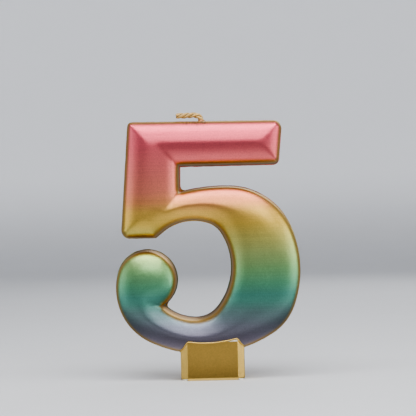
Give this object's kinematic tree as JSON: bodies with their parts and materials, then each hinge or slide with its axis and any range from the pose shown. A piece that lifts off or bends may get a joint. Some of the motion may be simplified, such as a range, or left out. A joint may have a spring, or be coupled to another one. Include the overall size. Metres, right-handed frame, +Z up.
{
  "type": "number birthday candle",
  "caption": "Numeral five cake candle: flat-backed moulded wax digit with faceted rainbow-lacquered front, block foot and short wick bent to one side.",
  "frame": {"origin": "centre of the foot's base, which rests on the table", "axes": "+Z up along the digit, +X to the right as it is read, -Y out of the decorated front; the flat back faces +Y"},
  "size_m": [0.061, 0.014, 0.0867],
  "materials": {
    "wax": "bare paraffin wax",
    "lacquer": "satin metallic gold with a rainbow spray on the front",
    "wick": "waxed cotton, gold",
    "seal": "satin metallic"
  },
  "bodies": {
    "candle": {"digit_wax": "wax", "foot_wax": "wax", "lacquer_film": "lacquer", "wick_root": "wick", "wick_seal": "seal"},
    "wick_tip": {"wick_free_end": "wick"}
  },
  "joints": [
    {"name": "wick_bend", "type": "hinge", "parent": "candle", "child": "wick_tip", "pos_m": [-0.0021, 0.00025, 0.08579], "axis": [0, 1, 0], "range_deg": [0, 85]}
  ]
}
